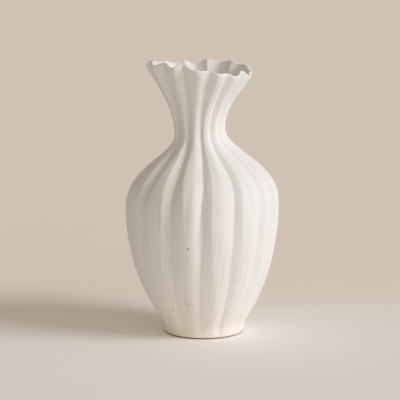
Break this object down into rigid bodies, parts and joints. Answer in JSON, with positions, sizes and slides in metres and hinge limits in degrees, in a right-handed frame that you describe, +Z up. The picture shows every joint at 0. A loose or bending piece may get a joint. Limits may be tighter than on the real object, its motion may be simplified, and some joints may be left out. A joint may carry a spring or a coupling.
{
  "type": "fluted ceramic vase",
  "caption": "Tall fluted ceramic vase with a swelling belly, narrow neck and ruffled flared mouth, glazed inside, on felt pads.",
  "frame": {"origin": "on the table, under the middle of the vase, at the felt pads' lower faces", "axes": "+Z up along the vase, -Y towards the front that the picture shows, +X to the right"},
  "size_m": [0.172, 0.1702, 0.3084],
  "materials": {
    "chalk_clay": "matte white chalky coat over pinkish earthenware",
    "foot_clay": "matte white coat, bare clay on the foot ring",
    "inside_glaze": "satin off-white glaze",
    "felt": "pressed grey-brown felt"
  },
  "bodies": {
    "root": {"fluted_wall": "chalk_clay", "floor_slab": "foot_clay", "glaze_lining": "inside_glaze", "foot_pad_1": "felt", "foot_pad_2": "felt", "foot_pad_3": "felt", "foot_pad_4": "felt"}
  },
  "joints": []
}
